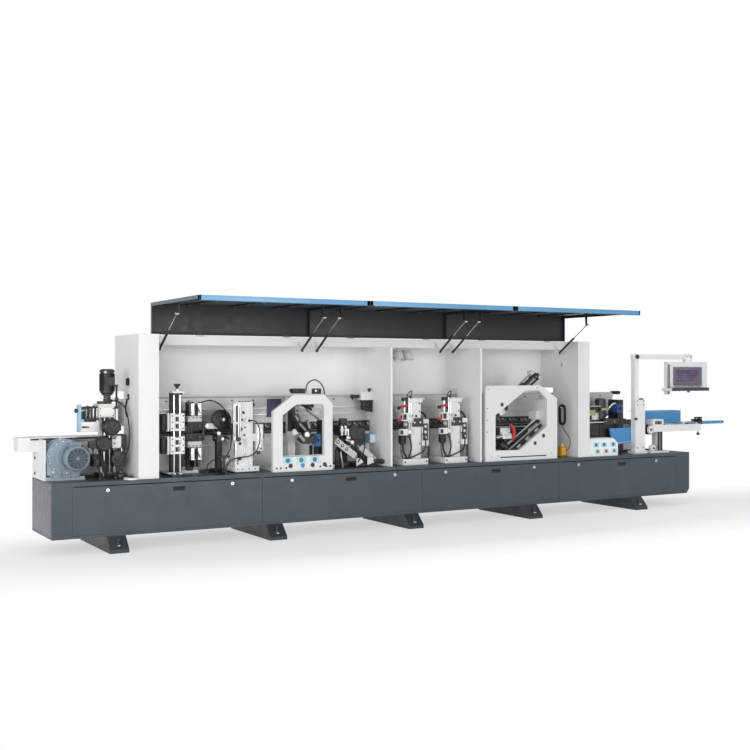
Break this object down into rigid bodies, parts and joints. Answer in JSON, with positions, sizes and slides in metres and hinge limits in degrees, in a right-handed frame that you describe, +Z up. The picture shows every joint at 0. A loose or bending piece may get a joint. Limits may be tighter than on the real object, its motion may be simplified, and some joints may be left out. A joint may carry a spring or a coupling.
{
  "type": "edge banding machine",
  "caption": "Straight-line edge banding machine: closed base, white hood with raised front lids on gas struts, processing stations on a chain feed, drive motor and a swivelling control pendant.",
  "frame": {"origin": "on the floor under the middle of the machine's bounding box", "axes": "+X along the feed from the outfeed end to the infeed end, +Y from the front doors to the rear, +Z up"},
  "size_m": [8.23, 1.743, 2.124],
  "materials": {
    "base_grey": "satin dark blue-grey powder coat",
    "lid_grey": "satin dark grey powder coat",
    "white_paint": "satin white powder coat",
    "cream_paint": "satin cream enamel",
    "motor_blue_grey": "satin blue-grey enamel",
    "dark_metal": "dark machined metal",
    "blue_paint": "satin blue powder coat",
    "yellow_paint": "moulded yellow plastic",
    "aluminium": "anodised extrusion",
    "black_plastic": "moulded black plastic",
    "black_paint": "gloss black tube",
    "chrome_rod": "polished rod",
    "bright_steel": "brushed",
    "black_rubber": "matte cable sheath",
    "white_cord": "matte cable sheath"
  },
  "bodies": {
    "machine": {"base_bed": "base_grey", "buffing_disc_unit": "dark_metal", "buffing_unit": "cream_paint", "cable_buffing_disc": "black_rubber", "cable_buffing_motor": "black_rubber", "cable_scraper": "black_rubber", "cable_upright_motor": "black_rubber", "coil_lead": "white_cord", "conveyor_track": "white_paint", "drive_gearbox": "motor_blue_grey", "drive_motor": "motor_blue_grey", "end_trim_frame": "white_paint", "fine_trim_1": "white_paint", "fine_trim_2": "white_paint", "flat_scraper": "white_paint", "gauge_box": "white_paint", "glue_guard": "blue_paint", "glue_unit": "dark_metal", "hood_back_wall": "white_paint", "hood_roof": "white_paint", "hose_rounding": "black_rubber", "infeed_fence": "blue_paint", "left_post": "white_paint", "pendant_post": "white_paint", "polish_column": "white_paint", "polish_unit": "cream_paint", "profile_scraper": "dark_metal", "right_post": "white_paint", "rounding_frame": "white_paint", "spare_coil": "black_rubber", "supply_box": "yellow_paint", "tape_feeder": "white_paint", "upright_motor": "dark_metal"},
    "base_door_1": {"base_door_1": "base_grey"},
    "base_door_2": {"base_door_2": "base_grey"},
    "base_door_3": {"base_door_3": "base_grey"},
    "base_door_4": {"base_door_4": "base_grey"},
    "lid_1": {"lid_1": "lid_grey"},
    "lid_2": {"lid_2": "lid_grey"},
    "lid_3": {"lid_3": "lid_grey"},
    "strut_tube_1": {"strut_tube_1": "black_paint"},
    "strut_rod_1": {"strut_rod_1": "chrome_rod"},
    "strut_tube_2": {"strut_tube_2": "black_paint"},
    "strut_rod_2": {"strut_rod_2": "chrome_rod"},
    "strut_tube_3": {"strut_tube_3": "black_paint"},
    "strut_rod_3": {"strut_rod_3": "chrome_rod"},
    "strut_tube_4": {"strut_tube_4": "black_paint"},
    "strut_rod_4": {"strut_rod_4": "chrome_rod"},
    "strut_tube_5": {"strut_tube_5": "black_paint"},
    "strut_rod_5": {"strut_rod_5": "chrome_rod"},
    "strut_tube_6": {"strut_tube_6": "black_paint"},
    "strut_rod_6": {"strut_rod_6": "chrome_rod"},
    "pressure_beam": {"pressure_beam": "aluminium"},
    "polish_head": {"polish_head": "white_paint"},
    "rounding_arm": {"rounding_arm": "dark_metal"},
    "end_trim_saw_upper": {"end_trim_saw_upper": "bright_steel"},
    "end_trim_saw_lower": {"end_trim_saw_lower": "bright_steel"},
    "pendant_arm": {"pendant_arm": "white_paint"},
    "pendant_box": {"pendant_box": "white_paint"},
    "main_switch": {"main_switch": "black_plastic"}
  },
  "joints": [
    {"name": "door_1_tilt", "type": "hinge", "parent": "machine", "child": "base_door_1", "pos_m": [-2.922, 0.0615, 0.153], "axis": [1, 0, 0], "range_deg": [0, 80]},
    {"name": "door_2_tilt", "type": "hinge", "parent": "machine", "child": "base_door_2", "pos_m": [-1.212, 0.0615, 0.153], "axis": [1, 0, 0], "range_deg": [0, 80]},
    {"name": "door_3_tilt", "type": "hinge", "parent": "machine", "child": "base_door_3", "pos_m": [0.498, 0.0615, 0.153], "axis": [1, 0, 0], "range_deg": [0, 80]},
    {"name": "door_4_tilt", "type": "hinge", "parent": "machine", "child": "base_door_4", "pos_m": [2.208, 0.0615, 0.153], "axis": [1, 0, 0], "range_deg": [0, 80]},
    {"name": "lid_1_swing", "type": "hinge", "parent": "machine", "child": "lid_1", "pos_m": [-2.24983, 0.3195, 1.841], "axis": [1, 0, 0], "range_deg": [0, 90]},
    {"name": "lid_2_swing", "type": "hinge", "parent": "machine", "child": "lid_2", "pos_m": [-0.6995, 0.3195, 1.841], "axis": [1, 0, 0], "range_deg": [0, 90]},
    {"name": "lid_3_swing", "type": "hinge", "parent": "machine", "child": "lid_3", "pos_m": [0.85083, 0.3195, 1.841], "axis": [1, 0, 0], "range_deg": [0, 90]},
    {"name": "strut_1_pivot", "type": "hinge", "parent": "machine", "child": "strut_tube_1", "pos_m": [-2.966, 0.2565, 1.714], "axis": [1, 0, 0], "range_deg": [-1, 110]},
    {"name": "strut_1_stroke", "type": "slide", "parent": "strut_tube_1", "child": "strut_rod_1", "axis": [0, -0.8426, 0.5385], "range_m": [-0.14, 0.001]},
    {"name": "strut_2_pivot", "type": "hinge", "parent": "machine", "child": "strut_tube_2", "pos_m": [-1.57667, 0.2565, 1.714], "axis": [1, 0, 0], "range_deg": [-1, 110]},
    {"name": "strut_2_stroke", "type": "slide", "parent": "strut_tube_2", "child": "strut_rod_2", "axis": [0, -0.8426, 0.5385], "range_m": [-0.14, 0.001]},
    {"name": "strut_3_pivot", "type": "hinge", "parent": "machine", "child": "strut_tube_3", "pos_m": [-1.41767, 0.2565, 1.714], "axis": [1, 0, 0], "range_deg": [-1, 110]},
    {"name": "strut_3_stroke", "type": "slide", "parent": "strut_tube_3", "child": "strut_rod_3", "axis": [0, -0.8426, 0.5385], "range_m": [-0.14, 0.001]},
    {"name": "strut_4_pivot", "type": "hinge", "parent": "machine", "child": "strut_tube_4", "pos_m": [-0.02633, 0.2565, 1.714], "axis": [1, 0, 0], "range_deg": [-1, 110]},
    {"name": "strut_4_stroke", "type": "slide", "parent": "strut_tube_4", "child": "strut_rod_4", "axis": [0, -0.8426, 0.5385], "range_m": [-0.14, 0.001]},
    {"name": "strut_5_pivot", "type": "hinge", "parent": "machine", "child": "strut_tube_5", "pos_m": [0.13267, 0.2565, 1.714], "axis": [1, 0, 0], "range_deg": [-1, 110]},
    {"name": "strut_5_stroke", "type": "slide", "parent": "strut_tube_5", "child": "strut_rod_5", "axis": [0, -0.8426, 0.5385], "range_m": [-0.14, 0.001]},
    {"name": "strut_6_pivot", "type": "hinge", "parent": "machine", "child": "strut_tube_6", "pos_m": [1.514, 0.2565, 1.714], "axis": [1, 0, 0], "range_deg": [-1, 110]},
    {"name": "strut_6_stroke", "type": "slide", "parent": "strut_tube_6", "child": "strut_rod_6", "axis": [0, -0.8426, 0.5385], "range_m": [-0.14, 0.001]},
    {"name": "beam_lift", "type": "slide", "parent": "machine", "child": "pressure_beam", "axis": [0, 0, 1], "range_m": [0, 0.05]},
    {"name": "polish_head_adjust", "type": "slide", "parent": "machine", "child": "polish_head", "axis": [0, 0, 1], "range_m": [-0.03, 0.03]},
    {"name": "rounding_arm_swing", "type": "hinge", "parent": "machine", "child": "rounding_arm", "pos_m": [-1.605, 0.3615, 1.23], "axis": [0, 1, 0], "range_deg": [-20, 30]},
    {"name": "end_trim_upper_slide", "type": "slide", "parent": "machine", "child": "end_trim_saw_upper", "axis": [0.7821, 0, 0.6232], "range_m": [0, 0.4]},
    {"name": "end_trim_lower_slide", "type": "slide", "parent": "machine", "child": "end_trim_saw_lower", "axis": [0.8296, 0, 0.5584], "range_m": [-0.03, 0.2]},
    {"name": "pendant_swivel", "type": "hinge", "parent": "machine", "child": "pendant_arm", "pos_m": [2.565, 0.2215, 1.685], "axis": [0, 0, 1], "range_deg": [-80, 60]},
    {"name": "pendant_turn", "type": "hinge", "parent": "pendant_arm", "child": "pendant_box", "pos_m": [3.385, 0.2215, 1.63], "axis": [0, 0, 1], "range_deg": [-45, 45]},
    {"name": "main_switch_turn", "type": "hinge", "parent": "machine", "child": "main_switch", "pos_m": [-3.2103, 0.3615, 1.426], "axis": [1, 0, 0], "range_deg": [0, 90]}
  ],
  "couplings": [
    {"joint": "strut_1_pivot", "follows": "lid_1_swing", "ratio": 1.1985},
    {"joint": "strut_1_stroke", "follows": "lid_1_swing", "m_per_rad": -0.086897},
    {"joint": "strut_2_pivot", "follows": "lid_1_swing", "ratio": 1.1985},
    {"joint": "strut_2_stroke", "follows": "lid_1_swing", "m_per_rad": -0.086897},
    {"joint": "strut_3_pivot", "follows": "lid_2_swing", "ratio": 1.1985},
    {"joint": "strut_3_stroke", "follows": "lid_2_swing", "m_per_rad": -0.086897},
    {"joint": "strut_4_pivot", "follows": "lid_2_swing", "ratio": 1.1985},
    {"joint": "strut_4_stroke", "follows": "lid_2_swing", "m_per_rad": -0.086897},
    {"joint": "strut_5_pivot", "follows": "lid_3_swing", "ratio": 1.1985},
    {"joint": "strut_5_stroke", "follows": "lid_3_swing", "m_per_rad": -0.086897},
    {"joint": "strut_6_pivot", "follows": "lid_3_swing", "ratio": 1.1985},
    {"joint": "strut_6_stroke", "follows": "lid_3_swing", "m_per_rad": -0.086897}
  ]
}
